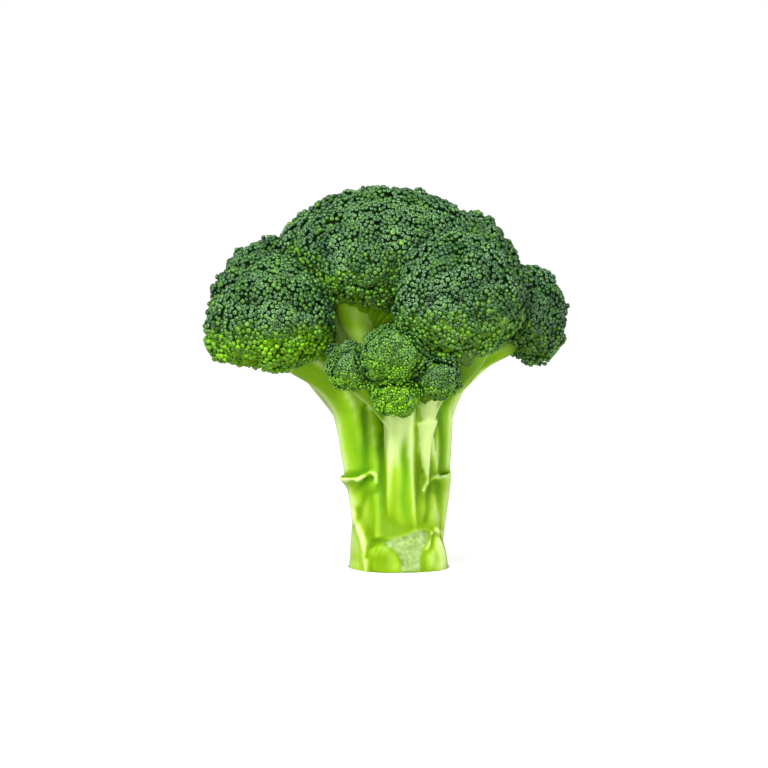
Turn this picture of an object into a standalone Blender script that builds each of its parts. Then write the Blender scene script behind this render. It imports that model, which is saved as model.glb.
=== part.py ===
"""A small broccoli head standing on its cut stalk.

One stalk carries the florets on stems that fan out of it. Each floret's bud head is a separate
lobed dome that presses against its neighbours. Blender 4.5, metres, +Z up. The origin is the
centre of the flat cut under the stalk, and -Y is the front.
"""

import math

import bmesh
import bpy
from mathutils import Vector

MM = 0.001

# Driving dimensions
HEAD_GAP = 1.0 * MM  # crevice between two bud heads that press together
STALK_GAP = 0.4 * MM  # between a stem's end and the bud head it carries
STEM_SIDES = 20
STEM_STEP = 2.5 * MM  # spacing of a stem's rings
FLUTES = 5  # shallow ridges that run up each stem
FLUTE_DEPTH = 0.05  # share of the stem's radius
VOXEL = 1.5 * MM  # fuses the stems into one body
STALK_DETAIL = 0.11  # share of the fused body's triangles that is kept
LOBE_SIZE = 13.0 * MM  # width of a bud head's secondary lobes
CREASE_ROUNDING = 1.2 * MM  # softens the edge where a bud head presses on a neighbour
LOBE_RISE = 1.8 * MM  # how far a lobe stands above the creases round it
LOBE_REACH = 0.62  # a lobe's half width as a share of the lobes' spacing
UNDERSIDE = (0.1, 0.9)  # where the flattening starts and is full, as the share that faces the stem
FACET = 6.0 * MM  # edge length of a bud head's faces
BASE_CUT = 60 * MM  # side of the block that squares off the bottom of the stalk

STALK_COLOUR = (0.36, 0.62, 0.06)
BUD_COLOUR = (0.05, 0.13, 0.04)
YOUNG_BUD_COLOUR = (0.07, 0.19, 0.02)
STALK_ROUGHNESS = 0.38
BUD_ROUGHNESS = 0.55

# Each stem's route as (x, y, z, radius) in millimetres, from the base up. A leaf base is a short
# stem that ends in a flat cut, so it leaves a ledge round the stem that rises out of it.
STEMS = {
    "trunk": [(-0.2, 0, -4, 21.4), (-0.5, 0, 4, 20.4), (-1.2, 0, 13, 19.0), (0, 0.5, 26, 18.0),
              (0, 2, 42, 15.5), (-1, 3, 56, 13.0), (-3, 3, 72, 12.0), (-6, 2, 88, 11.0), (-8, 1, 104, 11.0)],
    "top": [(-5, 0, 70, 9.5), (-11, -6, 84, 8.8), (-15.5, -10, 97, 9.0), (-15, -10, 108, 13.0)],
    "top_right": [(2, 4, 72, 8.0), (13, 8, 92, 7.5), (21, 11, 108, 9.5)],
    "left_front": [(-8, -1, 8, 10.0), (-12, -2, 30, 8.8), (-15.8, -3, 48, 8.2), (-18.3, -4, 60, 7.8),
                   (-22, -6, 71, 7.4), (-30, -9, 81.5, 7.6), (-42, -13, 91, 9.0)],
    "left_inner": [(-8, 4, 66, 7.0), (-17, 8, 82, 7.5), (-24, 9, 98, 8.5), (-28, 8, 114, 12.0)],
    "left_rear": [(-12, 7, 66, 7.0), (-24, 10, 82, 6.5), (-39, 15, 97, 7.0), (-50, 18, 107, 9.0)],
    "right": [(9, 1, 8, 9.0), (12.4, 1, 30, 8.0), (14.6, 1, 48, 7.2), (15.8, 0, 60, 6.6),
              (17.6, -1, 71, 6.0), (24.2, -4, 81, 6.2), (29, -14, 92, 8.0), (27, -26, 104, 11.0)],
    "far_right": [(22, -1, 77, 6.0), (34, 2, 87, 5.0), (46, 5, 93, 5.0), (54, 6, 103, 7.0)],
    "front": [(0.5, -5, 2, 12.5), (0.9, -9, 16, 9.6), (0.8, -12, 32, 7.6), (0.6, -13.5, 48, 6.7),
              (0.4, -17, 62, 6.6), (-1, -27, 72, 7.5), (-2, -38, 80, 9.0)],
    "small_left": [(-1, -19, 63, 5.0), (-10, -27, 73, 4.4), (-18, -35, 82, 5.5)],
    "small_right": [(7.2, -9, 38, 3.2), (10.3, -11.5, 54, 3.2), (11.5, -17, 65, 3.6),
                    (14, -29, 76, 5.0)],
    "left_web": [(-6, -4, 8, 8.0), (-8.2, -7.4, 30, 6.0), (-9.6, -7.6, 50, 5.6), (-12, -6, 68, 4.8)],
    "right_web": [(6, -4, 8, 8.0), (10.4, -6.2, 30, 5.0), (11.6, -5.6, 48, 4.8), (12, -4, 64, 4.5)],
    "rear": [(0, 8, 15, 11.0), (-2, 12, 42, 9.0), (-5, 18, 62, 8.2), (-7, 29, 82, 8.6),
             (-8, 38, 98, 10.5)],
    "rear_left": [(-8, 6, 15, 10.0), (-12, 9, 42, 8.2), (-19, 15, 62, 7.2), (-31, 24, 78, 7.4),
                  (-40, 32, 90, 8.5)],
    "rear_right": [(8, 7, 15, 10.0), (12, 10, 42, 8.2), (17, 17, 62, 7.2), (26, 29, 80, 7.5),
                   (32, 37, 93, 9.0)],
}
LEAF_BASES = {
    "left": [(-11, -3, 8, 7.0), (-14.2, -3.6, 28, 6.0), (-15.6, -3.8, 34, 6.2), (-16.4, -4, 39.3, 9.4)],
    "right": [(11, -1, 8, 7.0), (14.4, -2, 28, 6.4), (15.0, -2, 34, 6.6), (14.2, -1.8, 37.6, 8.5)],
    "front": [(3.4, -7, -4, 14.0), (3.2, -8.5, 6, 12.4), (2.0, -10.5, 14.5, 10.2)],
    "front_petiole": [(8.6, -10.5, 22, 3.0), (10.2, -12.6, 44, 2.6), (10.6, -14.4, 55, 3.2),
                      (11.0, -16, 62.8, 5.0)],
    "rear_left": [(-8, 8, 4, 7.0), (-11, 11.5, 20, 8.4), (-12, 13, 31, 9.6)],
    "rear_right": [(8, 9, 4, 8.0), (9, 12, 14, 9.0), (11, 13.5, 24, 9.8)],
}

# Each bud head as centre, half extents and the way it grows, in millimetres. Its underside, where
# the stem comes in, is flattened by the share given last.
FLORETS = {
    "floret_top": ((-6.5, 0, 127.5), (45.5, 43.5, 32.3), (0, 0, 1), 0.27),
    "floret_top_right": ((29, 23, 123), (22.5, 26, 28), (0.4, 0.3, 1), 0.40),
    "floret_left_rear": ((-53.5, 18, 113), (25.2, 26, 25.6), (-0.4, 0.2, 1), 0.30),
    "floret_left_front": ((-51.5, -17, 104.5), (30, 31, 27), (-0.3, -0.2, 1), 0.12),
    "floret_right_front": ((23.5, -36, 114), (28.5, 28, 29), (0.1, -0.5, 1), 0.08),
    "floret_far_right": ((53.5, 5, 104.5), (17, 25, 24), (0.9, 0.1, 1), 0.22),
    "floret_rear": ((-6, 45, 114), (33, 28, 28), (0, 0.6, 1), 0.40),
    "floret_rear_left": ((-42, 42, 100), (25, 25, 23), (-0.6, 0.5, 1), 0.40),
    "floret_rear_right": ((33, 45, 105), (27, 25, 25), (0.4, 0.6, 1), 0.40),
    "floret_small_front": ((-3.3, -46, 91.5), (15, 14, 13), (0, -0.6, 1), 0.04),
    "floret_small_low": ((-1.5, -43, 74.5), (11.2, 12, 10.7), (0, -0.6, 1), 0.04),
    "floret_small_left": ((-19.5, -40, 86), (12, 12.5, 12), (-0.5, -0.4, 1), 0.08),
    "floret_small_right": ((14.5, -42, 83), (12.5, 12.5, 12.5), (0.5, -0.4, 1), 0.08),
}
YOUNG_FLORETS = ("floret_small_front", "floret_small_low", "floret_small_left", "floret_small_right")


def clear_scene():
    for obj in list(bpy.data.objects):
        bpy.data.objects.remove(obj, do_unlink=True)


def material(name, colour, roughness):
    made = bpy.data.materials.new(name)
    made.use_nodes = True
    shader = made.node_tree.nodes["Principled BSDF"]
    shader.inputs["Base Color"].default_value = (*colour, 1)
    shader.inputs["Roughness"].default_value = roughness
    shader.inputs["Metallic"].default_value = 0
    return made


def new_object(name, bm, look, parent):
    mesh = bpy.data.meshes.new(name)
    bm.to_mesh(mesh)
    bm.free()
    mesh.shade_smooth()
    mesh.materials.append(look)
    obj = bpy.data.objects.new(name, mesh)
    obj.parent = parent
    bpy.context.scene.collection.objects.link(obj)
    return obj


def smooth_route(route):
    """(centre, radius) at even steps along the Catmull-Rom curve through a route, in metres."""
    points = [Vector(p) * MM for p in route]
    points = [2 * points[0] - points[1], *points, 2 * points[-1] - points[-2]]
    samples = []
    for a, b, c, d in zip(points, points[1:], points[2:], points[3:]):
        steps = max(1, round((c - b).xyz.length / STEM_STEP))
        for step in range(steps):
            t = step / steps
            samples.append(
                0.5 * (2 * b + (c - a) * t + (2 * a - 5 * b + 4 * c - d) * t**2
                       + (3 * b - a - 3 * c + d) * t**3)
            )
    samples.append(points[-2])
    return [(s.xyz, s.w) for s in samples]


def add_stem(bm, route, flutes=FLUTE_DEPTH):
    """Sweeps a fluted ring along the route and closes both ends with flat caps."""
    samples = smooth_route(route)
    centres = [centre for centre, _ in samples]
    rings = []
    for i, (centre, radius) in enumerate(samples):
        along = (centres[min(i + 1, len(centres) - 1)] - centres[max(i - 1, 0)]).normalized()
        side = along.cross(Vector((0, 1, 0))).normalized()
        front = along.cross(side)
        ring = []
        for k in range(STEM_SIDES):
            turn = 2 * math.pi * k / STEM_SIDES
            reach = radius * (1 + flutes * math.cos(FLUTES * turn))
            ring.append(bm.verts.new(centre + (side * math.cos(turn) + front * math.sin(turn)) * reach))
        rings.append(ring)
    for lower, upper in zip(rings, rings[1:]):
        for k in range(STEM_SIDES):
            after = (k + 1) % STEM_SIDES
            bm.faces.new((lower[k], lower[after], upper[after], upper[k]))
    bm.faces.new(rings[0][::-1])
    bm.faces.new(rings[-1])


def half_extent(size, direction):
    """How far an ellipsoid of these half extents reaches from its centre in a direction."""
    return 1 / math.sqrt(sum((d / s) ** 2 for d, s in zip(direction, size)))


def dividing_planes(name):
    """(point, outward normal) of the planes that keep this bud head off its neighbours."""
    centre, size = (Vector(v) * MM for v in FLORETS[name][:2])
    planes = []
    for other, (other_centre, other_size, *_) in FLORETS.items():
        if other == name:
            continue
        offset = Vector(other_centre) * MM - centre
        apart = offset.length
        direction = offset / apart
        mine = half_extent(size, direction)
        theirs = half_extent(Vector(other_size) * MM, direction)
        if mine + theirs > apart:
            share = (apart**2 + mine**2 - theirs**2) / (2 * apart)
        else:
            share = (apart + mine - theirs) / 2
        planes.append((centre + direction * (share - HEAD_GAP / 2), direction))
    return planes


def spread_directions(count):
    """Unit vectors spread evenly over a sphere along a golden-angle spiral."""
    golden = math.pi * (3 - math.sqrt(5))
    found = []
    for i in range(count):
        z = 1 - 2 * (i + 0.5) / count
        flat = math.sqrt(1 - z * z)
        found.append(Vector((flat * math.cos(golden * i), flat * math.sin(golden * i), z)))
    return found


def smooth_step(low, high, value):
    t = min(max((value - low) / (high - low), 0), 1)
    return t * t * (3 - 2 * t)


def lobe_height(direction, lobes, width):
    """0 in the creases between the secondary lobes and 1 on top of one."""
    nearest = max(direction.dot(lobe) for lobe in lobes)
    return max(0, 1 - (math.acos(min(nearest, 1)) / width) ** 2)


def soft_minimum(values):
    """The least of the values, rounded off where two of them meet."""
    least = min(values)
    return least - CREASE_ROUNDING * math.log(sum(math.exp((least - v) / CREASE_ROUNDING) for v in values))


def add_bud_head(name, look, parent):
    centre, size, grows, flattened = FLORETS[name]
    centre, size, grows = Vector(centre) * MM, Vector(size) * MM, Vector(grows).normalized()
    mean = sum(size) / 3
    lobes = spread_directions(round(4 * math.pi * mean**2 / LOBE_SIZE**2))
    width = LOBE_SIZE / mean * LOBE_REACH
    planes = dividing_planes(name)
    bm = bmesh.new()
    bmesh.ops.create_cube(bm, size=2)
    cuts = max(3, round(math.pi / 2 * mean / FACET)) - 1
    bmesh.ops.subdivide_edges(bm, edges=bm.edges[:], cuts=cuts, use_grid_fill=True)
    for vert in bm.verts:
        direction = Vector([math.tan(c * math.pi / 4) for c in vert.co]).normalized()
        under = smooth_step(*UNDERSIDE, -direction.dot(grows))
        reach = half_extent(size, direction) * (1 - flattened * under)
        reach -= LOBE_RISE * (1 - lobe_height(direction, lobes, width))
        limits = [reach]
        for point, normal in planes:
            facing = direction.dot(normal)
            if facing > 1e-6:
                limits.append((point - centre).dot(normal) / facing)
        vert.co = direction * soft_minimum(limits)
    bmesh.ops.triangulate(bm, faces=bm.faces[:])
    head = new_object(name, bm, look, parent)
    head.location = centre
    return head


def new_cutter(name, bm, look, parent):
    cutter = new_object(name, bm, look, parent)
    cutter.hide_render = True
    cutter.display_type = "WIRE"
    return cutter


def bud_head_cutter(bud_heads, look, parent):
    """One hidden mesh of all the bud heads, each swollen by the gap to the stems."""
    bm = bmesh.new()
    for head in bud_heads:
        start = len(bm.verts)
        bm.from_mesh(head.data)
        bm.verts.ensure_lookup_table()
        bm.normal_update()
        for vert in bm.verts[start:]:
            vert.co += head.location + vert.normal * STALK_GAP
    return new_cutter("bud_head_cutter", bm, look, parent)


def base_cutter(look, parent):
    """A hidden block under the origin that leaves the stalk's bottom as one flat cut."""
    bm = bmesh.new()
    bmesh.ops.create_cube(bm, size=BASE_CUT)
    bmesh.ops.translate(bm, verts=bm.verts[:], vec=(0, 0, -BASE_CUT / 2))
    return new_cutter("base_cutter", bm, look, parent)


def add_stalk(look, bud_heads, parent):
    bm = bmesh.new()
    for route in STEMS.values():
        add_stem(bm, route)
    for route in LEAF_BASES.values():
        add_stem(bm, route, flutes=0)
    bmesh.ops.triangulate(bm, faces=bm.faces[:])
    stalk = new_object("stalk", bm, look, parent)
    fuse = stalk.modifiers.new("Fuse stems", "REMESH")
    fuse.mode = "VOXEL"
    fuse.voxel_size = VOXEL
    thin = stalk.modifiers.new("Thin out", "DECIMATE")
    thin.ratio = STALK_DETAIL
    for cutter in (base_cutter(look, parent), bud_head_cutter(bud_heads, look, parent)):
        cut = stalk.modifiers.new(cutter.name, "BOOLEAN")
        cut.operation = "DIFFERENCE"
        cut.object = cutter


def main():
    clear_scene()
    stalk_look = material("stalk", STALK_COLOUR, STALK_ROUGHNESS)
    bud_look = material("buds", BUD_COLOUR, BUD_ROUGHNESS)
    young_look = material("young_buds", YOUNG_BUD_COLOUR, BUD_ROUGHNESS)
    head = bpy.data.objects.new("broccoli_head", None)
    bpy.context.scene.collection.objects.link(head)
    bud_heads = [
        add_bud_head(name, young_look if name in YOUNG_FLORETS else bud_look, head) for name in FLORETS
    ]
    add_stalk(stalk_look, bud_heads, head)


main()
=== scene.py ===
"""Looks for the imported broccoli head: thousands of flower buds on each floret's dome, a fine waxy
stalk with its leaf scars, and a white studio. Every size below is in millimetres unless it says so."""

import math

import bmesh
import bpy
import numpy as np
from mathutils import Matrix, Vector
from mathutils.bvhtree import BVHTree
from mathutils.kdtree import KDTree

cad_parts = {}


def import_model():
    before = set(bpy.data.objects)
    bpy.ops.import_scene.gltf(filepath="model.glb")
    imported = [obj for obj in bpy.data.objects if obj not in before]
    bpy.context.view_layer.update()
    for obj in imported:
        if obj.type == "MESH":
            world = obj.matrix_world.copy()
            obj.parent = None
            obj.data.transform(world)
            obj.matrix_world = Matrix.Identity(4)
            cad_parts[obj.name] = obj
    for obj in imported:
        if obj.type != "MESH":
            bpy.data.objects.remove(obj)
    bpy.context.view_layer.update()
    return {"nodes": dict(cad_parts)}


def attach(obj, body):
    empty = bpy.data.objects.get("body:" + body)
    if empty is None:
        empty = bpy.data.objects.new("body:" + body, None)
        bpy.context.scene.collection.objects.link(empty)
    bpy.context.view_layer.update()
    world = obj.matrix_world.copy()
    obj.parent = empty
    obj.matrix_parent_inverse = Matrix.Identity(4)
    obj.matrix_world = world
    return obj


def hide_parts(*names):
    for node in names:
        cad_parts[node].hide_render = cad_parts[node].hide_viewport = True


MM = 0.001
SEED = 7

# The camera: a long lens a little above the middle of the head
LENS = 120
SENSOR = 36
ELEVATION = math.radians(3.5)
FRAME_WIDTH = 322.6  # width of what the camera sees at the head
AIM = (-6.3, 0, 76.5)  # x, y and height up the picture of the picture's centre

# The studio, in metres and watts. The sky's brightness goes by direction, from -1 straight down to
# 1 straight up, and the floor's glow by distance from the stalk: less near it, a painted shade, so its
# shade shows.
SKY = ((-0.30, 0.60), (-0.02, 1.0), (0.15, 1.0), (0.45, 0.12))
LIGHTS = {  # place, width and power
    "key": ((-0.40, -0.80, 0.85), 0.25, 22),
    "fill": ((0.8, -0.6, 0.20), 0.5, 5),
    "front": ((-0.10, -1.1, 0.12), 0.35, 6),
}
LIGHTS_FACE = (0, 0, 0.09)
FLOOR_HALF = 6.0  # half of its width
FLOOR_GREY = 0.35
FLOOR_GLOW = ((0.03, 0.84), (0.10, 1.0))

# Buds
BUD_SPACING = 1.34
BUD_RINGS = ((0.62, -0.75), (0.95, -0.15), (1.0, 0.35), (0.82, 0.80), (0.45, 1.02))  # radius, height
BUD_TIP = 0.86  # the height of the dimple that the four sepals close round
BUD_SIDES = 8
BUD_SQUARENESS = (0.0, 0.03, 0.06, 0.10, 0.14)  # the sepals part a little more in each ring
BUD_RADIUS = 0.6  # as a share of the spacing
BUD_SIZES = (0.85, 1.3)  # the smallest and the largest, as shares of that radius
GAP_SHARE = 0.58  # a bud's radius as a share of the way to its second neighbour
BUD_DEPTH = 0.8  # how deep a bud sits, as a share of the radius
BUDS_PER_PIECE = 2500
CANDIDATES = 6.0  # places tried for a bud per square millimetre
LOOSE_START = 1.18  # the first buds are placed this much further apart, and the others fill the gaps
NEIGHBOUR_GAP = 1.15  # no buds grow where another floret is this close in front
CREASE = 9.0  # where the next floret is nearer than this, the buds swell towards it
CREASE_FILL = 2.6  # by this much at most
CELL_SHARE = 0.47  # half the width of a bud's picture in its cell of the bake map
ACROSS = (0.3, 0.9, 0.1)  # the direction that sets which way round each bud is turned

# How much the buds vary (standard deviations)
SIZE_JITTER = 0.1  # as a share of a bud's size
DEPTH_JITTER = 0.45  # as a share of the radius
LEAN_JITTER = 0.7  # against CLUSTER_DEPTH
YELLOW_JITTER = 0.13  # as a share of full yellow
EDGE_JITTER = 0.1  # of where the buds end, on FLORETS' scale from 0 to 1
EDGE_WAVE = 0.16  # their edge also waves by this much, which is no standard deviation
EDGE_WAVE_RATE = (0.9, 0.7, 0.3)  # in radians per millimetre along x, y and z

# The buds stand in clusters on broader mounds
MOUND_SPACING = 15.0
MOUND_RISE = 1.7
CLUSTER_SPACING = 6.0
CLUSTER_RISE = 1.7
CLUSTER_DEPTH = 7.0  # depth below the surface of the point its buds fan out from
CLUSTER_POWER = 1.3  # clusters of smaller buds shrink by this power of the buds' size
MOUND_WIDTH = 0.62  # as a share of the spacing: a mound falls by its rise over this distance
MOUND_LEVEL = 0.4  # the share of the rise that stands above the floret's surface
MOUND_FOOT = 1.3  # a mound stops falling this many widths from its middle

# The flesh that shows between the buds and under the florets
SKIN_DEPTH = 2.8  # how far it lies below the buds
SKIN_HOLLOW = 5.0  # how much further it is drawn in under the floret
SKIN_LIFT = 0.01  # a ray starts this far above the surface, so as not to hit it
YOUNG_FLESH = 0.6  # how light the young florets' flesh is at least, from 0 to 1

# Thin stems under the florets
STALKLET_RADII = (2.6, 1.5, 1.1)  # at the root, in the middle and at the end
STALKLET_ROOT = 3.0  # how far below the end of the floret's stem they start
STALKLET_ARCH = 2.5  # how far the middle is raised
STALKLET_SINK = 1.5  # how far below the cluster they end
STALKLET_JITTER = 0.8
STALKLET_UNDER = 0.1  # how far a cluster faces against the floret's growth at least to get one
STALKLET_SIDES = 8
STALKLET_STEP = 3.0
STALKLET_PAINT = (0.5, 0.0, 0.0, 0.6)  # as stalk_paint gives it

# Where each change begins and where it is complete, in millimetres where it is a place
FADES = {
    # by how far the surface faces down, from -1 to 1 (for the hollow, against the floret's growth)
    "yellow": (-0.1, 0.7),
    # the flesh between the buds is painted as if in shade where it faces up, and loses that as it faces
    # down
    "unshaded_flesh": (-0.3, 0.6),
    "hollow": (0.45, 0.95),
    # by how far the stalk's surface faces the front or a side
    "facing_front": (0.1, 0.5),
    "rim_light_facing_side": (0.25, 0.9),
    # by x, y or z on the stalk, or by how far the surface is from x = 0
    "front_half": (-3, -7),
    "stripe_foot": (18, 28),
    "stripe_head": (60, 46),
    "vein_foot": (1, 5),
    "vein_head": (10, 7),
    "front_stem_left": (-7.5, -5.5),
    "front_stem_right": (15.0, 12.5),
    "front_stem_near": (-8, -11),
    "front_stem_head": (80, 60),
    "front_stem_fresh_and_lit": (34, 60),
    "sides": (10, 16),
    "rim_light_head": (88, 80),
    "stub_foot": (42, 52),
    "stub_head": (84, 76),
    "young": (5, 50),
    "foot": (26, 12),
    "foot_edge": (16, 11),
    "head_painted_light": (84, 95),
    "palest_head": (80, 88),
    # by distance from the stub's middle, from its top and from the scar's outline
    "stub": (5.5, 2.5),
    "stub_cup": (4.2, 2.6),
    "scar": (0.3, -0.5),
}

# Each floret: the point its stem reaches, the way it grows, how far round its underside the buds
# go (0 stops at the widest point, 1 covers everything), the size of its buds as a share of the
# usual one, and how yellow they are on top and underneath
FLORETS = {
    "floret_top": ((-14, -6, 102), (0, 0, 1), 0.88, 1.0, 0.0, 0.45),
    "floret_top_right": ((22, 14, 104), (0.4, 0.3, 1), 0.70, 1.0, 0.0, 0.45),
    "floret_left_rear": ((-46, 16, 96), (-0.4, 0.2, 1), 0.75, 1.0, 0.05, 0.5),
    "floret_left_front": ((-43, -13, 89), (-0.3, -0.2, 1), 0.88, 1.0, 0.10, 1.1),
    "floret_right_front": ((28, -20, 90), (0.1, -0.5, 1), 0.88, 1.0, 0.0, 0.5),
    "floret_far_right": ((51, 5, 97), (0.9, 0.1, 1), 0.86, 1.0, 0.0, 0.3),
    "floret_rear": ((-7, 34, 96), (0, 0.6, 1), 0.75, 1.0, 0.0, 0.5),
    "floret_rear_left": ((-36, 30, 84), (-0.6, 0.5, 1), 0.75, 1.0, 0.05, 0.6),
    "floret_rear_right": ((30, 35, 88), (0.4, 0.6, 1), 0.75, 1.0, 0.0, 0.5),
    "floret_small_front": ((-1, -34, 78), (0, -0.6, 1), 0.98, 0.6, 0.30, 0.75),
    "floret_small_low": ((0, -30, 70), (0, -0.6, 1), 1.2, 0.6, 0.85, 1.0),
    "floret_small_left": ((-15, -33, 80), (-0.5, -0.4, 1), 0.98, 0.6, 0.22, 0.8),
    "floret_small_right": ((12, -28, 75), (0.5, -0.4, 1), 0.98, 0.6, 0.12, 0.6),
}
# Swellings and dents of single florets: middle, width, rise
LUMPS = {
    "floret_top": [((-30, 0, 156), 8.0, -1.0), ((-44, 0, 142), 7.0, 1.4)],
    "floret_top_right": [((38, 20, 145), 9.0, -1.6), ((27, 18, 151), 5.0, 1.5)],
    "floret_left_front": [((-77, -18, 91), 7.0, 4.4), ((-65, -30, 85), 8.0, -3.5),
                          ((-55, -17, 77), 11.0, -3.0), ((-83, -17, 104), 12.0, -1.8)],
    "floret_left_rear": [((-66, 16, 133), 5.0, -1.4), ((-50, 14, 134), 8.0, 2.8)],
    "floret_rear_left": [((-55, 42, 82), 12.0, -3.5), ((-40, 42, 77), 9.0, -3.0)],
    "floret_rear_right": [((50, 45, 87), 11.0, -6.0)],
    "floret_far_right": [((47, -4, 88), 6.0, -2.0), ((62, 2, 87), 8.0, 1.8), ((52, 0, 128), 5.0, 2.0)],
    "floret_small_front": [((-2, -50, 79), 8.0, 1.0)],
    "floret_small_low": [((-1, -48, 82), 9.0, 1.6)],
}

# Each stem's route as (x, y, z, radius). The stalk is the CAD's one with finer skin, and its
# stems are slimmer where they show behind others.
STEMS = {
    "trunk": [(-0.2, 0, -4, 21.4), (-0.5, 0, 4, 20.4), (-1.2, 0, 13, 19.0), (0, 0.5, 26, 18.0),
              (0, 2, 42, 15.5), (-1, 3, 56, 13.0), (-3, 3, 72, 12.0), (-5, 6, 88, 9.0), (-6, 8, 104, 9.0)],
    "top": [(-5, 0, 70, 9.5), (-11, -5, 84, 6.5), (-15, -9, 96, 4.8), (-17.5, -10, 106, 8.0),
            (-16, -8, 114, 13.0)],
    "left_inner": [(-8, 4, 66, 7.0), (-17, 9, 82, 5.5), (-25, 12, 98, 6.0), (-28, 12, 112, 9.0)],
    "top_right": [(2, 4, 72, 8.0), (13, 8, 92, 7.5), (21, 11, 108, 9.5)],
    "left_front": [(-8, -1, 8, 10.0), (-12, -2, 30, 8.8), (-15.8, -3, 48, 8.2), (-18.3, -4, 60, 7.8),
                   (-22, -6, 71, 7.4), (-30, -9, 81.5, 7.6), (-42, -13, 91, 9.0)],
    "left_rear": [(-12, 7, 66, 7.0), (-24, 10, 82, 6.5), (-39, 15, 97, 7.0), (-50, 18, 107, 9.0)],
    "right": [(9, 1, 8, 9.0), (12.4, 1, 30, 8.0), (14.6, 1, 48, 7.2), (15.8, 0, 60, 6.6),
              (17.4, -1, 71, 5.6), (24.4, -4, 81, 5.5), (29, -14, 92, 8.0), (27, -26, 104, 11.0)],
    "far_right": [(22, -1, 77, 5.6), (34, 2, 87.5, 5.0), (46, 5, 94, 4.8), (54, 6, 104, 6.0)],
    "front": [(0.5, -5, 2, 12.5), (0.9, -9, 16, 9.6), (0.8, -12, 32, 7.6), (0.6, -13.5, 48, 6.7),
              (0.4, -17, 62, 6.6), (-1, -27, 72, 7.5), (-2, -38, 80, 9.0)],
    "small_left": [(-1, -19, 63, 5.0), (-10, -27, 73, 4.4), (-18, -35, 82, 5.5)],
    "small_right": [(7.2, -9, 38, 3.2), (10.3, -11.5, 54, 3.2), (11.5, -17, 65, 3.6), (14, -29, 76, 5.0)],
    "left_web": [(-6, -4, 8, 8.0), (-8.2, -7.4, 30, 6.0), (-9.6, -7.6, 50, 5.6), (-12, -6, 68, 4.8)],
    "right_web": [(6, -4, 8, 8.0), (10.4, -6.2, 30, 5.0), (11.6, -5.6, 48, 4.8), (12, -4, 64, 4.5)],
    "rear": [(0, 8, 15, 11.0), (-2, 12, 42, 9.0), (-5, 18, 62, 8.2), (-7, 29, 82, 8.6), (-8, 38, 98, 10.5)],
    "rear_left": [(-8, 6, 15, 10.0), (-12, 9, 42, 8.2), (-19, 15, 62, 7.2), (-31, 24, 78, 7.4),
                  (-40, 32, 90, 8.5)],
    "rear_right": [(8, 7, 15, 10.0), (12, 10, 42, 8.2), (15.8, 17, 62, 6.8), (24, 29, 80, 7.0),
                   (32, 37, 93, 9.0)],
}
LEAF_BASES = {
    "left": [(-11, -3, 8, 7.0), (-14.2, -3.6, 28, 6.0), (-15.6, -3.8, 34, 6.2), (-16.4, -4, 39.3, 9.4)],
    "right": [(11, -1, 8, 7.0), (14.4, -2, 28, 6.4), (15.0, -2, 34, 6.6), (14.2, -1.8, 37.6, 8.5)],
    "front": [(3.4, -7, -4, 14.0), (3.2, -8.5, 6, 12.4), (2.0, -10.5, 14.5, 10.2)],
    "front_petiole": [(8.6, -10.5, 22, 3.0), (10.2, -12.6, 44, 2.6), (10.6, -14.4, 55, 3.2),
                      (11.0, -16, 62.8, 5.0)],
    "rear_left": [(-8, 8, 4, 7.0), (-11, 11.5, 20, 8.4), (-12, 13, 31, 9.6)],
    "rear_right": [(8, 9, 4, 8.0), (9, 12, 14, 9.0), (11, 13.5, 24, 9.8)],
}
# The cut leaf's scar at the front of the base, as (x, z)
SCAR = [(-5.5, 12.6), (-2, 14.3), (1.6, 15.0), (5.8, 16.6), (9, 17.2), (11.6, 16.6), (12.4, 14.2),
        (11.2, 11.5), (9.6, 9.5), (8.6, 6), (8.8, 0.5), (0.8, 0.5), (0.4, 6), (-2, 9.5), (-5, 11)]
# Ridges (or grooves, with a height below 0) on the front of the stalk: points (x, z), width, height
RELIEF = [
    ([(-19.8, 23.5), (-17.6, 18.5), (-15.2, 13.5), (-13.8, 8), (-13.4, 0)], 1.4, 0.7),
    ([(-17.0, 24), (-15.0, 19), (-13.0, 15), (-11.6, 12.5)], 2.4, -0.6),
    ([(-9.2, 31), (-8.9, 26), (-8.8, 20), (-9.0, 15)], 1.6, 0.45),
    ([(-13.2, 6), (-12.9, 9.7), (-10.9, 11.9), (-8, 13.0), (-5, 12.4)], 1.0, -0.7),
    ([(-6.3, 12.9), (-3, 14.0), (1.6, 14.9), (5.8, 16.4), (8.6, 17.2), (11.8, 17.0), (13.4, 15.6)],
     1.0, 0.35),
    ([(11.0, 9.4), (12.2, 12.0), (13.2, 15.4)], 0.7, 0.6),
    ([(15.4, 16.6), (17.6, 14.6), (18.8, 11)], 0.9, 0.6),
    ([(13.4, 15.0), (12.6, 10), (10.4, 7), (9.4, 0)], 1.4, -0.3),
    ([(11.5, 21), (12.5, 26), (12.0, 34), (9.5, 41)], 1.4, -0.6),
    ([(-17.4, 37.4), (-14.8, 39.6), (-11.6, 40.8), (-9.8, 39.6), (-9.4, 37)], 0.8, 0.6),
    ([(-13.6, 37.6), (-11.4, 38.4)], 1.0, -0.6),
    ([(17.4, 39.3), (13.9, 38.4), (11.5, 36.2), (10.0, 33.4)], 0.9, 0.6),
]
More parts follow.
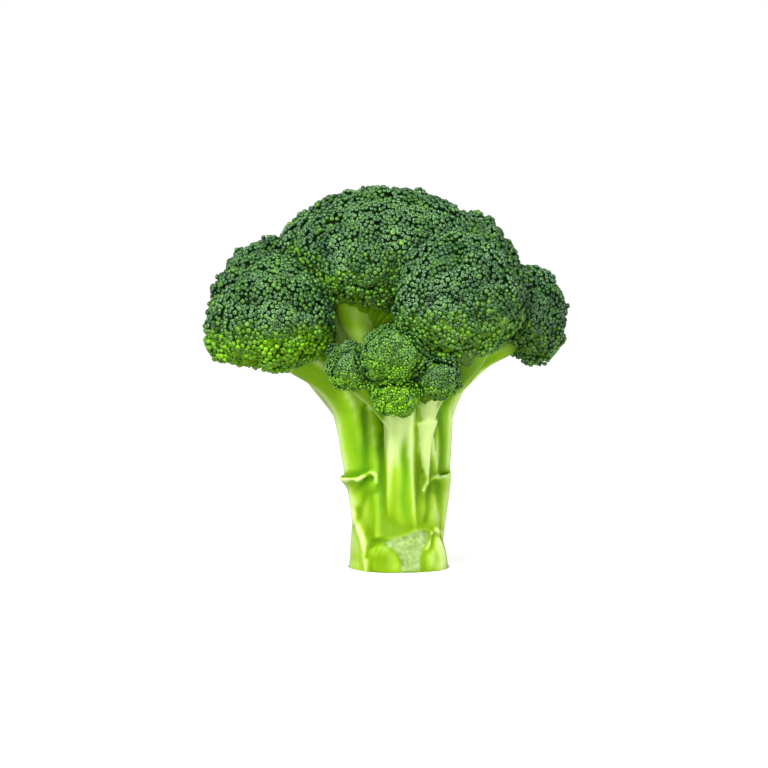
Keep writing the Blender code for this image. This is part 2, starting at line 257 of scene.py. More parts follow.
# Rounded swellings there: middle (x, z), half width and half height, how far they stand out
SWELLINGS = [
    ((-6.0, 4.5), (7.4, 7.0), 1.6),
    ((15.5, 6.0), (5.5, 8.0), 1.4),
    ((4.5, 6.0), (4.5, 8.0), -0.9),
]
STUB_TOP = (11.0, -16, 62.8)
STUB_HOLLOW = 3.2  # depth of the cup in the cut petiole's end
STUB_X = 10.8
STUB_BACK = -9.0  # the stub is painted only in front of this y
STRIPE_X = 2.0  # the dark stripe down the front stem
STRIPE_WIDTH = 1.5
STRIPE_SWAY = 0.3
STRIPE_SWAY_RATE = 0.35  # in radians per millimetre up
VEIN_X = 4.7  # the vein in the scar
VEIN_WIDTH = 0.9
VEIN_DARKNESS = 0.6  # as a share of the stripe's
BULGE_RANGE = 0.9  # from the deepest groove that is told apart to the highest ridge
BULGE_SMOOTHINGS = 12
FRONT_STEM_FRESH_AND_LIT = 0.7  # as a share of the stub's
# Parts made paler: the sides facing left and right by a painted rim highlight, the head by painted light,
# and the fresh parts partly by paler skin of their own and partly by painted light. The foot is made
# darker.
PALER = {"sides": 0.3, "fresh": 0.85, "foot": -0.2, "head": 0.35}  # where 1 is from groove to ridge
PALEST = 1.5
PALEST_DROP = 0.6  # how much lower that is at the head
# For the sides, losing youth is part of their painted rim highlight.
OLDER = {"front_stem": 0.95, "sides": 0.9, "fresh": 1.0}  # how much of their youth these parts lose
STEM_SIDES = 40
STEM_STEP = 1.2
# Ridges along the stems: angle from the front, height as a share of the radius, width in degrees
FLUTES = [(at, 0.07, 20) for at in (-150, -75, -5, 70, 140)]
RIDGES = {
    "trunk": [(-140, 0.04, 20), (-40, 0.03, 15), (20, 0.03, 15), (60, 0.04, 15), (130, 0.05, 20)],
    "front": [(-42, 0.10, 13), (38, 0.12, 11), (-100, 0.08, 20), (100, 0.08, 20)],
    "left_front": [(-70, 0.06, 25), (10, 0.05, 14), (60, 0.05, 18)],
    "right": [(-20, 0.05, 16), (55, 0.06, 20), (120, 0.05, 20)],
}
STALK_VOXEL = 0.75
STALK_SMOOTHING = {"factor": 0.5, "iterations": 3}


def unit(vectors):
    return vectors / np.maximum(np.linalg.norm(vectors, axis=-1, keepdims=True), 1e-9)


def smooth_step(low, high, value):
    t = np.clip((value - low) / (high - low), 0, 1)
    return t * t * (3 - 2 * t)


def fade(name, value):
    """How complete the change of this name is, from 0 to 1."""
    return smooth_step(*FADES[name], value)


def bell(t):
    return np.exp(-(t**2))


# Meshes


def place_in_scene(name, data):
    made = bpy.data.objects.new(name, data)
    bpy.context.scene.collection.objects.link(made)
    return made


def new_piece(name, verts, faces, material, stands_for=None):
    """A smooth-shaded object from points in millimetres, which may stand for a CAD node."""
    mesh = bpy.data.meshes.new(name)
    mesh.from_pydata((np.asarray(verts) * MM).tolist(), [], faces)
    mesh.shade_smooth()
    mesh.materials.append(material)
    piece = place_in_scene(name, mesh)
    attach(piece, "root")
    if stands_for:
        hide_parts(stands_for)
    return piece


def paint(piece, name, values):
    """Stores a colour (n, 4) for each vertex, for the material to read."""
    layer = piece.data.color_attributes.new(name, "FLOAT_COLOR", "POINT")
    layer.data.foreach_set("color", np.ascontiguousarray(values, np.float32).ravel())


def mesh_arrays(mesh):
    """Points in millimetres, their normals, and triangles."""
    count = len(mesh.vertices)
    verts, normals = np.empty(count * 3), np.empty(count * 3)
    mesh.vertices.foreach_get("co", verts)
    mesh.vertices.foreach_get("normal", normals)
    mesh.calc_loop_triangles()
    tris = np.empty(len(mesh.loop_triangles) * 3, np.int32)
    mesh.loop_triangles.foreach_get("vertices", tris)
    return verts.reshape(-1, 3) / MM, normals.reshape(-1, 3), tris.reshape(-1, 3)


def mesh_from(bm, name):
    """The bmesh as a mesh of triangles. It frees the bmesh."""
    bmesh.ops.triangulate(bm, faces=bm.faces[:])
    mesh = bpy.data.meshes.new(name)
    bm.to_mesh(mesh)
    bm.free()
    return mesh


def modified_copy(mesh, *modifiers):
    """The mesh after (type, settings) modifiers, as a new mesh."""
    temporary = place_in_scene("temporary", mesh)
    for kind, settings in modifiers:
        modifier = temporary.modifiers.new(kind.lower(), kind)
        for key, value in settings.items():
            setattr(modifier, key, value)
    graph = bpy.context.evaluated_depsgraph_get()
    result = bpy.data.meshes.new_from_object(temporary.evaluated_get(graph))
    bpy.data.objects.remove(temporary)
    return result


# Buds


class Dome:
    """A floret's smooth surface, taken from its CAD solid."""

    def __init__(self, node):
        mesh = modified_copy(
            node.data.copy(),
            ("WELD", {"merge_threshold": 1e-5}),
            ("SUBSURF", {"levels": 2, "render_levels": 2}),
        )
        self.verts, self.normals, self.tris = mesh_arrays(mesh)
        self.tree = BVHTree.FromPolygons(self.verts.tolist(), self.tris.tolist())

    def scatter(self, rng, density):
        """Random points on the surface with their normals, density to the square millimetre."""
        a, b, c = (self.verts[self.tris[:, k]] for k in range(3))
        areas = np.linalg.norm(np.cross(b - a, c - a), axis=1) / 2
        picks = rng.choice(len(areas), int(areas.sum() * density), p=areas / areas.sum())
        u, v = rng.random((2, len(picks)))
        over = u + v > 1
        u[over], v[over] = 1 - u[over], 1 - v[over]
        weights = np.stack([1 - u - v, u, v], axis=1)[:, :, None]
        corners = self.tris[picks]
        return (self.verts[corners] * weights).sum(1), unit((self.normals[corners] * weights).sum(1))


def point_tree(points):
    tree = KDTree(len(points))
    for i, point in enumerate(points):
        tree.insert(point, i)
    tree.balance()
    return tree


def thin_out(points, spacings):
    """Indices of points that keep at least a spacing between them. A smaller spacing later in the
    list fills the gaps that a larger one left."""
    tree = point_tree(points)
    kept = []
    for spacing in spacings:
        free = np.ones(len(points), bool)
        for i in kept:
            for _, j, _ in tree.find_range(points[i], spacing):
                free[j] = False
        for i in range(len(points)):
            if free[i]:
                kept.append(i)
                for _, j, _ in tree.find_range(points[i], spacing):
                    free[j] = False
    return np.array(kept)


def room(points, normals, others):
    """How far each point is from the next surface in front of it, up to the width of a crease."""
    free = np.full(len(points), CREASE)
    for i, (point, normal) in enumerate(zip(points, normals)):
        start, direction = Vector(point), Vector(normal)
        for tree in others:
            place, _, _, distance = tree.ray_cast(start, direction, CREASE)
            if place is not None:
                free[i] = min(free[i], distance)
    return free


def crease_fill(distance):
    """How far the buds rise to meet those of the next floret at this distance."""
    rise = np.clip((distance - NEIGHBOUR_GAP) / 2, 0, CREASE_FILL)
    return rise * smooth_step(CREASE, CREASE / 2, distance)


def bud_template():
    """A bud's points and faces, and each point's share of the height and place in the bake map's cell."""
    turns = 2 * np.pi * np.arange(BUD_SIDES) / BUD_SIDES
    rings = []
    for (radius, height), squareness in zip(BUD_RINGS, BUD_SQUARENESS):
        reach = radius * (1 + squareness * np.cos(4 * turns))
        coordinates = [reach * np.cos(turns), reach * np.sin(turns), np.full(BUD_SIDES, height)]
        rings.append(np.stack(coordinates, 1))
    points = np.concatenate([*rings, [[0, 0, BUD_TIP]]])
    faces = []
    for ring in range(len(BUD_RINGS) - 1):
        for k in range(BUD_SIDES):
            after = (k + 1) % BUD_SIDES
            low, high = ring * BUD_SIDES, (ring + 1) * BUD_SIDES
            faces.append((low + k, low + after, high + after, high + k))
    last, tip = (len(BUD_RINGS) - 1) * BUD_SIDES, len(points) - 1
    faces += [(last + k, last + (k + 1) % BUD_SIDES, tip) for k in range(BUD_SIDES)]
    levels = np.arange(len(BUD_RINGS) + 1) / len(BUD_RINGS)
    heights = np.append(np.repeat(levels[:-1], BUD_SIDES), levels[-1])
    spread = 1 - np.repeat(np.arange(len(BUD_RINGS)), BUD_SIDES) / len(BUD_RINGS)
    cell = np.stack([np.tile(np.cos(turns), len(BUD_RINGS)), np.tile(np.sin(turns), len(BUD_RINGS))], 1)
    cell = np.concatenate([cell * spread[:, None], [[0, 0]]])
    return points, faces, heights, cell


BUD_POINTS, BUD_FACES, BUD_HEIGHTS, BUD_CELL = bud_template()


def bud_piece(name, centres, axes, sizes, looks, material, stands_for):
    """One mesh of many buds, with looks as bud_looks gives them."""
    count = len(centres)
    side = unit(np.cross(axes, np.array(ACROSS)))
    other = np.cross(axes, side)
    frames = np.stack([side, other, axes], axis=1) * sizes[:, None, None]
    verts = (np.einsum("pk,nkc->npc", BUD_POINTS, frames) + centres[:, None]).reshape(-1, 3)
    stride = len(BUD_POINTS)
    faces = [tuple(v + i * stride for v in face) for i in range(count) for face in BUD_FACES]
    piece = new_piece(name, verts, faces, material, stands_for)
    tone, yellow, cluster = (np.repeat(column, stride) for column in looks.T)
    paint(piece, "bud", np.stack([tone, np.tile(BUD_HEIGHTS, count), yellow, cluster], 1))
    add_bake_map(piece, count)


def add_bake_map(piece, count):
    """A bake map, where each bud has a cell that shows it from its tip."""
    columns = math.ceil(math.sqrt(count))
    rows = math.ceil(count / columns)
    cells = np.stack([np.arange(count) % columns, np.arange(count) // columns], 1) + 0.5
    spots = ((cells[:, None] + BUD_CELL[None] * CELL_SHARE) / (columns, rows)).reshape(-1, 2)
    loops = np.empty(len(piece.data.loops), np.int32)
    piece.data.loops.foreach_get("vertex_index", loops)
    layer = piece.data.uv_layers.new(name="OFBake")
    layer.data.foreach_set("uv", spots[loops].astype(np.float32).ravel())


class Mounds:
    """Rounded bumps of one width all over a surface."""

    def __init__(self, points, spacing, rise):
        self.centres = points[thin_out(points, (spacing,))]
        self.tree = point_tree(self.centres)
        self.width, self.rise = spacing * MOUND_WIDTH, rise

    def owners(self, points):
        return np.array([self.tree.find(point)[1] for point in points])

    def height(self, points):
        distance = np.array([self.tree.find(point)[2] for point in points]) / self.width
        return self.rise * (MOUND_LEVEL - np.minimum(distance, MOUND_FOOT) ** 2)


class Lump:
    """One broad swelling, or a dent with a rise below 0, round a point."""

    def __init__(self, middle, width, rise):
        self.middle, self.width, self.rise = middle, width, rise

    def height(self, points):
        return self.rise * bell(np.linalg.norm(points - self.middle, axis=1) / self.width)


def bud_places(dome, grows, reach_under, size, others, rng):
    """Points on a dome for its buds, with their normals and the room in front of them."""
    points, normals = dome.scatter(rng, CANDIDATES / size**2)
    wave = EDGE_WAVE * np.sin(points @ np.array(EDGE_WAVE_RATE))
    ragged = wave + EDGE_JITTER * rng.standard_normal(len(points))
    wanted = -normals @ grows < reach_under + ragged
    points, normals = points[wanted], normals[wanted]
    spacing = BUD_SPACING * size
    kept = thin_out(points, (spacing * LOOSE_START, spacing))
    points, normals = points[kept], normals[kept]
    space = room(points, normals, others)
    free = space > NEIGHBOUR_GAP
    return points[free], normals[free], space[free]


def bud_sizes(points, radius, rng):
    """Each bud's radius: larger where its neighbours leave it room."""
    tree = point_tree(points)
    gaps = np.array([tree.find_n(point, 3)[-1][2] for point in points])
    smallest, largest = BUD_SIZES
    sizes = np.clip(gaps * GAP_SHARE, radius * smallest, radius * largest)
    return sizes * (1 + SIZE_JITTER * rng.standard_normal(len(points)))


def bud_looks(normals, nearest, cluster_count, yellow, yellow_under, rng):
    """(tone, yellowness, tone of its cluster) for each bud."""
    tone = rng.random(len(normals))
    more_yellow = (yellow_under - yellow) * fade("yellow", -normals[:, 2])
    yellowness = yellow + more_yellow + YELLOW_JITTER * rng.standard_normal(len(normals))
    cluster_tone = rng.random(cluster_count)[nearest]
    return np.stack([tone, np.clip(yellowness, 0, 1), cluster_tone], 1)


def grow_floret(name, domes, stalk_tree, materials, rng):
    """A floret's buds in clusters and mounds, the flesh between them and the thin stems below."""
    root, grows, reach_under, size, yellow, yellow_under = FLORETS[name]
    dome = domes[name]
    grows = unit(np.array(grows, float))
    slot = "young_buds" if size < 1 else "buds"
    short_name = name.removeprefix("floret_")
    others = [other.tree for key, other in domes.items() if key != name] + [stalk_tree]
    points, normals, space = bud_places(dome, grows, reach_under, size, others, rng)

    spread = size**CLUSTER_POWER
    mounds = Mounds(points, MOUND_SPACING * spread, MOUND_RISE * spread)
    clusters = Mounds(points, CLUSTER_SPACING * spread, CLUSTER_RISE * spread)
    bumps = [mounds, clusters, *(Lump(*lump) for lump in LUMPS.get(name, ()))]
    rise = sum(bump.height(points) for bump in bumps) + crease_fill(space)

    # Each bud belongs to the nearest cluster and fans out from below its middle.
    nearest = clusters.owners(points)
    away = points - clusters.centres[nearest]
    axes = unit(normals * CLUSTER_DEPTH + away + LEAN_JITTER * rng.standard_normal(points.shape))
    radius = BUD_SPACING * size * BUD_RADIUS
    sizes = bud_sizes(points, radius, rng)
    jitter = DEPTH_JITTER * radius * rng.standard_normal(len(points))
    seats = points + normals * (rise - BUD_DEPTH * radius + jitter)[:, None]

    looks = bud_looks(normals, nearest, len(clusters.centres), yellow, yellow_under, rng)

    from_left = np.argsort(points[:, 0], kind="stable")
    chunks = np.array_split(from_left, math.ceil(len(points) / BUDS_PER_PIECE))
    for number, part in enumerate(chunks, 1):
        bud_piece(f"buds_{short_name}_{number}", seats[part], axes[part], sizes[part], looks[part],
                  materials[slot], name)
    grow_skin(f"skin_{short_name}", dome, bumps, others, grows, materials["skin"], slot)
    grow_stalklets(f"stalklets_{short_name}", dome, clusters.centres, np.array(root, float), grows,
                   materials["stalk"], rng)


def grow_skin(name, dome, bumps, others, grows, material, slot):
    """The flesh between the buds: the dome sunk under them, and hollowed where no buds grow."""
    rise = sum(bump.height(dome.verts) for bump in bumps)
    rise += crease_fill(room(dome.verts + dome.normals * SKIN_LIFT, dome.normals, others))
    hollow = SKIN_HOLLOW * fade("hollow", -dome.normals @ grows)
    verts = dome.verts + dome.normals * (rise - SKIN_DEPTH - hollow)[:, None]
    piece = new_piece(name, verts, dome.tris.tolist(), material)
    # The flesh is painted near black where it faces up, as painted shade in the gaps between the buds, and
    # keeps its own yellow-green where it faces down.
    least = YOUNG_FLESH if slot == "young_buds" else 0
    light = np.maximum(fade("unshaded_flesh", -dome.normals[:, 2]), least)
    paint(piece, "bud", np.stack([light, light, light, np.ones(len(light))], 1))


def grow_stalklets(name, dome, centres, root, grows, material, rng):
    """Thin stems from the end of the floret's stem to the clusters round its underside."""
    bm = bmesh.new()
    for centre in centres:
        normal = np.array(dome.tree.find_nearest(centre)[1])
        if -normal @ grows > STALKLET_UNDER:
            end = centre - normal * STALKLET_SINK
            jitter = rng.standard_normal(3) * STALKLET_JITTER
            middle = (root + end) / 2 + grows * STALKLET_ARCH + jitter
            places = (root - grows * STALKLET_ROOT, middle, end)
            route = [(*place, radius) for place, radius in zip(places, STALKLET_RADII)]
            add_stem(bm, route, sides=STALKLET_SIDES, step=STALKLET_STEP)
    verts, _, tris = mesh_arrays(mesh_from(bm, "stalklets"))
    piece = new_piece(name, verts, tris.tolist(), material)
    paint(piece, "skin", np.tile(STALKLET_PAINT, (len(verts), 1)))


# Stalk


def smooth_route(route, step):
    """(centre, radius) at even steps along the Catmull-Rom curve through a route, in metres."""
    points = [Vector(p) * MM for p in route]
    points = [2 * points[0] - points[1], *points, 2 * points[-1] - points[-2]]
    samples = []
    for a, b, c, d in zip(points, points[1:], points[2:], points[3:]):
        steps = max(1, round((c - b).xyz.length / (step * MM)))
        for k in range(steps):
            t = k / steps
            samples.append(0.5 * (2 * b + (c - a) * t + (2 * a - 5 * b + 4 * c - d) * t**2
                                  + (3 * b - a - 3 * c + d) * t**3))
    samples.append(points[-2])
    return [(s.xyz, s.w) for s in samples]


def turned(turn, at):
    """Degrees from a ridge at an angle from the front to a point of the ring."""
    return (math.degrees(turn) - 90 - at + 180) % 360 - 180


def add_stem(bm, route, ridges=(), sides=STEM_SIDES, step=STEM_STEP):
    """Sweeps a ring with these ridges along the route and closes both ends with flat caps."""
    samples = smooth_route(route, step)
    centres = [centre for centre, _ in samples]
    rings = []
    for i, (centre, radius) in enumerate(samples):
        along = (centres[min(i + 1, len(centres) - 1)] - centres[max(i - 1, 0)]).normalized()
        side = along.cross(Vector((0, 1, 0))).normalized()
        front = along.cross(side)
        ring = []
        for k in range(sides):
            turn = 2 * math.pi * k / sides
            reach = radius * (1 + sum(h * bell(turned(turn, at) / w) for at, h, w in ridges))
            ring.append(bm.verts.new(centre + (side * math.cos(turn) + front * math.sin(turn)) * reach))
        rings.append(ring)
    for lower, upper in zip(rings, rings[1:]):
        for k in range(sides):
            after = (k + 1) % sides
            bm.faces.new((lower[k], lower[after], upper[after], upper[k]))
    bm.faces.new(rings[0][::-1])
    bm.faces.new(rings[-1])


def grow_stalk(material):
    """All the stems and leaf bases fused into one skin, which is then carved and cut off flat."""
    bm = bmesh.new()
    for name, route in STEMS.items():
        add_stem(bm, route, RIDGES.get(name, FLUTES))
    for route in LEAF_BASES.values():
        add_stem(bm, route)
    fused = modified_copy(
        mesh_from(bm, "stalk_stems"),
        ("REMESH", {"mode": "VOXEL", "voxel_size": STALK_VOXEL * MM}),
        ("SMOOTH", STALK_SMOOTHING),
    )
    verts, normals, tris = mesh_arrays(fused)
    verts += carving(verts, normals)
    verts[:, 2] = np.maximum(verts[:, 2], 0)
    piece = new_piece("stalk_skin", verts, tris.tolist(), material, "stalk")
    paint(piece, "skin", stalk_paint(verts, normals, tris))


def facing_front(verts, normals):
    """1 on the surface that is seen from the front, and 0 at the sides and behind."""
    return fade("facing_front", -normals[:, 1]) * fade("front_half", verts[:, 1])


def carving(verts, normals):
    """How far each point of the stalk moves to form its small ridges, swellings and hollow stub."""
    flat = verts[:, [0, 2]]
    height = np.zeros(len(verts))
    for line, width, rise in RELIEF:
        height += rise * bell(from_line(flat, line) / width)
    for middle, size, rise in SWELLINGS:
        height += rise * bell(np.linalg.norm((flat - middle) / size, axis=1) ** 2)
    move = normals * (height * facing_front(verts, normals))[:, None]
    from_stub = np.linalg.norm(verts - STUB_TOP, axis=1)
    facing_up = normals[:, 2] > 0.5
    move[:, 2] -= STUB_HOLLOW * fade("stub_cup", from_stub) * facing_up
    return move


def from_line(points, line):
    """Distance from each flat point to a line through several points."""
    corners = np.array(line, float)
    nearest = np.full(len(points), np.inf)
    for a, along in zip(corners, np.diff(corners, axis=0)):
        share = np.clip((points - a) @ along / (along @ along), 0, 1)
        nearest = np.minimum(nearest, np.linalg.norm(points - a - share[:, None] * along, axis=1))
    return nearest


def bulge(verts, normals, tris):
    """How far each point stands out of a smoothed copy of the surface, below 0 in a groove."""
    edges = np.concatenate([tris[:, [0, 1]], tris[:, [1, 2]], tris[:, [2, 0]]])
    neighbours = np.bincount(edges.ravel(), minlength=len(verts))[:, None]
    smooth = verts.copy()
    for _ in range(BULGE_SMOOTHINGS):
        total = np.zeros_like(smooth)
        np.add.at(total, edges[:, 0], smooth[edges[:, 1]])
        np.add.at(total, edges[:, 1], smooth[edges[:, 0]])
        smooth = total / neighbours
    return ((verts - smooth) * normals).sum(1)


def stalk_streaks(x, z, scar, front):
    """How dark each point is from a stripe down the front stem and a vein in the leaf scar."""
    sway = STRIPE_SWAY * np.sin(z * STRIPE_SWAY_RATE)
    stripe = bell((x - STRIPE_X - sway) / STRIPE_WIDTH)
    stripe *= fade("stripe_foot", z) * fade("stripe_head", z)
    vein = bell((x - VEIN_X) / VEIN_WIDTH) * fade("vein_foot", z) * fade("vein_head", z)
    return np.maximum(stripe * (1 - scar), VEIN_DARKNESS * vein) * front


def stalk_parts(verts, normals, streak):
    """How far each point belongs to each part of the stalk that is coloured differently; the sides facing
    left and right get a painted rim highlight, the head painted light, and the fresh parts partly paler
    skin of their own and partly painted light.
    """
    x, y, z = verts.T
    front_stem = fade("front_stem_left", x) * fade("front_stem_right", x)
    front_stem *= fade("front_stem_near", y) * fade("front_stem_head", z)
    # The top of the front stem and the cut stub are paler: partly their own skin, partly painted light
    # where the florets shade them.
    front_fresh_and_lit = FRONT_STEM_FRESH_AND_LIT * front_stem * fade("front_stem_fresh_and_lit", z) * (1 - streak)
    stub = fade("stub", np.abs(x - STUB_X)) * fade("stub_foot", z) * fade("stub_head", z)
    stub *= y < STUB_BACK
    sides = fade("sides", np.abs(x)) * fade("rim_light_head", z)
    return {
        "front_stem": front_stem,
        "fresh": np.maximum(stub, front_fresh_and_lit),
        # painted rim highlight on the sides that face left and right
        "sides": fade("rim_light_facing_side", np.abs(normals[:, 0])) * sides,
        "foot": fade("foot", z) * fade("foot_edge", np.abs(x)),
        # painted light on the trunk's head, in the florets' shade
        "head": fade("head_painted_light", z),
    }


def stalk_paint(verts, normals, tris):
    """(paleness, which carries painted highlight and painted shade, dark streak, scar, youth) for each
    point of the stalk.
    """
    x, _, z = verts.T
    front = facing_front(verts, normals)
    scar = fade("scar", outside(verts[:, [0, 2]], SCAR)) * front
    streak = stalk_streaks(x, z, scar, front)
    parts = stalk_parts(verts, normals, streak)
    # Painted highlight on the ridges and painted shade in the grooves, by how far the surface stands out;
    # the parts below add more.
    pale_and_painted_light = np.clip(0.5 + bulge(verts, normals, tris) / BULGE_RANGE, 0, 1)
    for part, amount in PALER.items():
        pale_and_painted_light += amount * parts[part]
    youth = fade("young", z)
    for part, share in OLDER.items():
        youth *= 1 - share * parts[part]
    palest = PALEST - PALEST_DROP * fade("palest_head", z)
    return np.stack([np.clip(pale_and_painted_light, 0, palest), streak, scar, youth], 1)


def outside(points, outline):
    """Distance from each flat point to a closed outline, negative inside it."""
    corners = np.array(outline, float)
    crossings = np.zeros(len(points), int)
    for a, b in zip(corners, np.roll(corners, -1, axis=0)):
        if a[1] != b[1]:
            spans = (a[1] > points[:, 1]) != (b[1] > points[:, 1])
            side = a[0] + (points[:, 1] - a[1]) / (b[1] - a[1]) * (b[0] - a[0])
            crossings += spans & (points[:, 0] < side)
    nearest = from_line(points, [*outline, outline[0]])
    return np.where(crossings % 2, -nearest, nearest)


# Materials


def grey(level):
    return (level, level, level)


class Nodes:
    """Short names for building the nodes of a material or a world."""

    def __init__(self, owner, shader):
        owner.use_nodes = True
        self.owner = owner
        self.tree = owner.node_tree
        self.shader = self.tree.nodes[shader]

    def node(self, kind, **inputs):
        made = self.tree.nodes.new(kind)
        self.feed(made, **inputs)
        return made

    def feed(self, node, **inputs):
        """Gives the node's inputs their values, or links them to other nodes' outputs."""
        for key, value in inputs.items():
            self.set(node.inputs[key.replace("_", " ")], value)

    def set(self, socket, value):
        if isinstance(value, bpy.types.NodeSocket):
            self.tree.links.new(value, socket)
        elif socket.type == "RGBA":
            socket.default_value = (*value, 1)
        else:
            socket.default_value = value

    def attribute(self, name):
        """The four channels of a colour that paint() stored."""
        made = self.node("ShaderNodeAttribute")
        made.attribute_name = name
        split = self.node("ShaderNodeSeparateColor", Color=made.outputs["Color"])
        return [*split.outputs, made.outputs["Alpha"]]

    def ramp(self, value, stops):
        made = self.node("ShaderNodeValToRGB", Fac=value)
        elements = made.color_ramp.elements
        while len(elements) < len(stops):
            elements.new(0.5)
        for element, (place, colour) in zip(elements, stops):
            element.position = place
            element.color = (*colour, 1)
        return made.outputs["Color"]

    def mix(self, factor, a, b, blend="MIX"):
        made = self.node("ShaderNodeMix")
        made.data_type = "RGBA"
        made.blend_type = blend
        for value, socket in ((factor, 0), (a, 6), (b, 7)):
            self.set(made.inputs[socket], value)
        return made.outputs[2]

    def math(self, operation, *values):
        made = self.node("ShaderNodeMath")
        made.operation = operation
        for socket, value in zip(made.inputs, values):
            self.set(socket, value)
        return made.outputs[0]

    def noise(self, scale, detail=3.0, roughness=0.5, stretch=(1, 1, 1)):
        """Noise in the object's own space. scale counts cells to the metre."""
        place = self.node("ShaderNodeTexCoord")
        mapping = self.node("ShaderNodeMapping", Vector=place.outputs["Object"], Scale=stretch)
        made = self.node("ShaderNodeTexNoise", Vector=mapping.outputs["Vector"], Scale=scale,
                         Detail=detail, Roughness=roughness)
        return made.outputs["Fac"]

    def bump(self, height, strength, distance):
        """Small relief on the shader. distance is in metres."""
        made = self.node("ShaderNodeBump", Height=height, Strength=strength, Distance=distance)
        self.feed(self.shader, Normal=made.outputs["Normal"])


def new_material(name):
    return Nodes(bpy.data.materials.new(name), "Principled BSDF")


def bud_material(name):
    """Waxy buds: blue-green to green by bud, yellower low down, with a paler ring near the tip that is
    partly the wax's whitish coat and partly a painted highlight, and painted shade at each bud's foot and
    tip.
    """
    n = new_material(name)
    tone, height, yellow, cluster = n.attribute("bud")
    patches = n.ramp(n.noise(45), [(0.32, grey(0)), (0.68, grey(1))])
    mixed = n.math("ADD", n.math("MULTIPLY", tone, 0.5), n.math("MULTIPLY", patches, 0.5))
    green = n.ramp(mixed, [(0.15, (0.001, 0.022, 0.010)), (0.45, (0.003, 0.036, 0.008)),
                           (0.7, (0.010, 0.058, 0.004)), (0.92, (0.05, 0.13, 0.003))])
    fresh = n.ramp(tone, [(0.0, (0.025, 0.13, 0.001)), (1.0, (0.17, 0.41, 0.002))])
    body = n.mix(yellow, green, fresh)
    # The paler ring near each bud's tip is partly the wax's whitish coat and partly a painted highlight,
    # stronger on some clusters than on others.
    bloom_and_highlight_colour = n.mix(yellow, (0.19, 0.36, 0.16), (0.22, 0.46, 0.0))
    edge = n.ramp(height, [(0.40, grey(0)), (0.68, grey(0.55)), (0.78, grey(0.25)), (0.9, grey(0))])
    bloom_and_highlight = n.math("MULTIPLY", edge, n.math("ADD", cluster, 0.2))
    shade = n.ramp(height, [(0.0, (0.25, 0.6, 0.2)), (0.4, grey(1)), (0.8, grey(1)),
                            (1.0, (0.5, 0.6, 0.3))])
    rough = n.ramp(n.noise(900, detail=2.0), [(0.3, grey(0.34)), (0.7, grey(0.50))])
    n.feed(n.shader, Base_Color=n.mix(1.0, n.mix(bloom_and_highlight, body, bloom_and_highlight_colour), shade, "MULTIPLY"),
           Roughness=rough, Specular_IOR_Level=0.32)
    n.bump(n.noise(1500), strength=0.25, distance=0.0003)
    return n.owner


def flesh_material():
    """What shows between the buds: near black as painted shade in the gaps on a dome, and its own
    yellow-green underneath it.
    """
    n = new_material("bud_flesh")
    light = n.attribute("bud")[0]
    flesh = n.ramp(light, [(0.1, (0.006, 0.020, 0.003)), (0.5, (0.05, 0.14, 0.004)),
                           (1.0, (0.20, 0.42, 0.01))])
    speckle = n.mix(n.noise(400), flesh, (0.03, 0.07, 0.002))
    n.feed(n.shader, Base_Color=n.mix(0.3, flesh, speckle), Roughness=0.8, Specular_IOR_Level=0.1)
    n.bump(n.noise(700), strength=0.6, distance=0.0008)
    return n.owner


def stalk_material():
    """Smooth waxy skin: a darker saturated green in the hollows as painted shade, paler on the ridges and
    sides as painted highlight, with faint long fibres.
    """
    n = new_material("stalk_wax")
    pale_and_painted_light, streak, scar, youth = n.attribute("skin")
    fibres = n.noise(900, roughness=0.6, stretch=(1, 1, 0.06))
    clouds = n.noise(45)
    # The paleness carries the painted highlight and shade that stalk_paint gives it.
    level = n.math("ADD", n.math("MULTIPLY", pale_and_painted_light, 0.64), n.math("MULTIPLY", clouds, 0.24))
    young = n.ramp(level, [(0.16, (0.055, 0.17, 0.0)), (0.44, (0.09, 0.245, 0.0)),
                           (0.68, (0.25, 0.46, 0.01)), (0.80, (0.56, 0.75, 0.26)),
                           (1.0, (0.70, 0.88, 0.32))])
    old = n.ramp(level, [(0.16, (0.10, 0.21, 0.0)), (0.40, (0.155, 0.285, 0.0)),
                         (0.60, (0.29, 0.46, 0.02)), (0.80, (0.56, 0.73, 0.24)),
                         (1.0, (0.70, 0.88, 0.32))])
    body = n.mix(youth, old, young)
    veined = n.mix(n.math("MULTIPLY", fibres, 0.22), body, (0.09, 0.27, 0.0))
    striped = n.mix(n.math("MULTIPLY", streak, 0.8), veined, (0.085, 0.29, 0.0))
    cut = n.ramp(n.noise(500, detail=4.0, roughness=0.7),
                 [(0.35, (0.17, 0.27, 0.05)), (0.62, (0.30, 0.41, 0.14))])
    specks = n.ramp(n.noise(450, detail=1.0), [(0.62, grey(0)), (0.72, grey(0.8))])
    speckled = n.mix(specks, cut, (0.10, 0.22, 0.01))
    rough = n.ramp(clouds, [(0.3, grey(0.36)), (0.7, grey(0.50))])
    n.feed(n.shader, Base_Color=n.mix(scar, striped, speckled), Roughness=rough,
           Specular_IOR_Level=0.1, Subsurface_Weight=0.4, Subsurface_Radius=(0.9, 1.0, 0.15),
           Subsurface_Scale=0.003)
    n.bump(fibres, strength=0.12, distance=0.0004)
    return n.owner


# Studio


def add_camera():
    up = Vector((0, math.sin(ELEVATION), math.cos(ELEVATION)))
    back = Vector((0, -math.cos(ELEVATION), math.sin(ELEVATION)))
    aim = Vector((AIM[0], AIM[1], 0)) * MM + up * AIM[2] * MM
    distance = FRAME_WIDTH * MM / 2 / (SENSOR / 2 / LENS)
    data = bpy.data.cameras.new("camera")
    data.lens = LENS
    data.sensor_width = SENSOR
    camera = place_in_scene("camera", data)
    camera.location = aim + back * distance
    camera.rotation_euler = (-back).to_track_quat("-Z", "Y").to_euler()
    bpy.context.scene.camera = camera


def add_light(name, place, size, power):
    """A square soft light that faces the middle of the head."""
    data = bpy.data.lights.new(name, "AREA")
    data.size = size
    data.energy = power
    light = place_in_scene(name, data)
    light.location = place
    light.rotation_euler = (Vector(LIGHTS_FACE) - light.location).to_track_quat("-Z", "Y").to_euler()


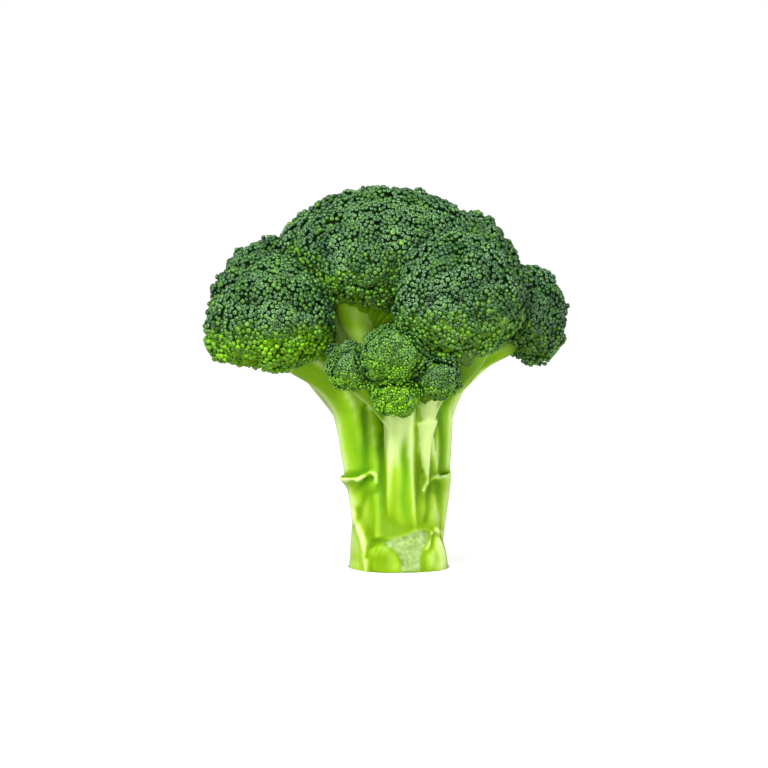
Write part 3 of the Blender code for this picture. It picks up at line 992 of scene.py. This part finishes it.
def add_floor():
    """A white floor that glows a little less near the stalk, a painted shade round its foot where the
    head's shade falls.
    """
    n = new_material("studio_floor")
    place = n.node("ShaderNodeTexCoord")
    distance = n.node("ShaderNodeVectorMath")
    distance.operation = "LENGTH"
    n.set(distance.inputs[0], place.outputs["Object"])
    glow = n.ramp(distance.outputs["Value"], [(near, grey(level)) for near, level in FLOOR_GLOW])
    n.feed(n.shader, Base_Color=grey(FLOOR_GREY), Roughness=0.9, Specular_IOR_Level=0.0,
           Emission_Color=glow, Emission_Strength=1.0)
    mesh = bpy.data.meshes.new("floor")
    corners = [(-FLOOR_HALF, -FLOOR_HALF, 0), (FLOOR_HALF, -FLOOR_HALF, 0),
               (FLOOR_HALF, FLOOR_HALF, 0), (-FLOOR_HALF, FLOOR_HALF, 0)]
    mesh.from_pydata(corners, [], [(0, 1, 2, 3)])
    mesh.materials.append(n.owner)
    floor = place_in_scene("floor", mesh)
    floor.visible_diffuse = False  # the sky already stands for the light that a floor throws back
    floor.visible_glossy = False


def add_sky():
    """A dim floor, white walls and a dark ceiling: the domes' sides are lit more than their tops."""
    n = Nodes(bpy.data.worlds.new("studio"), "Background")
    direction = n.node("ShaderNodeTexCoord")
    split = n.node("ShaderNodeSeparateXYZ", Vector=direction.outputs["Generated"])
    share = n.math("MULTIPLY_ADD", split.outputs["Z"], 0.5, 0.5)
    stops = [(0.5 + rise / 2, grey(level)) for rise, level in SKY]
    n.feed(n.shader, Color=n.ramp(share, stops))
    bpy.context.scene.world = n.owner


def main():
    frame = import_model()
    materials = {
        "buds": bud_material("buds_wax"),
        "young_buds": bud_material("young_buds_wax"),
        "skin": flesh_material(),
        "stalk": stalk_material(),
    }
    domes = {name: Dome(frame["nodes"][name]) for name in FLORETS}
    grow_stalk(materials["stalk"])
    verts, _, tris = mesh_arrays(frame["nodes"]["stalk"].data)
    stalk_tree = BVHTree.FromPolygons(verts.tolist(), tris.tolist())
    rng = np.random.default_rng(SEED)
    for name in FLORETS:
        grow_floret(name, domes, stalk_tree, materials, rng)
    add_camera()
    add_sky()
    for name, (place, size, power) in LIGHTS.items():
        add_light(name, place, size, power)
    add_floor()
    bpy.context.scene.view_settings.view_transform = "Standard"


main()
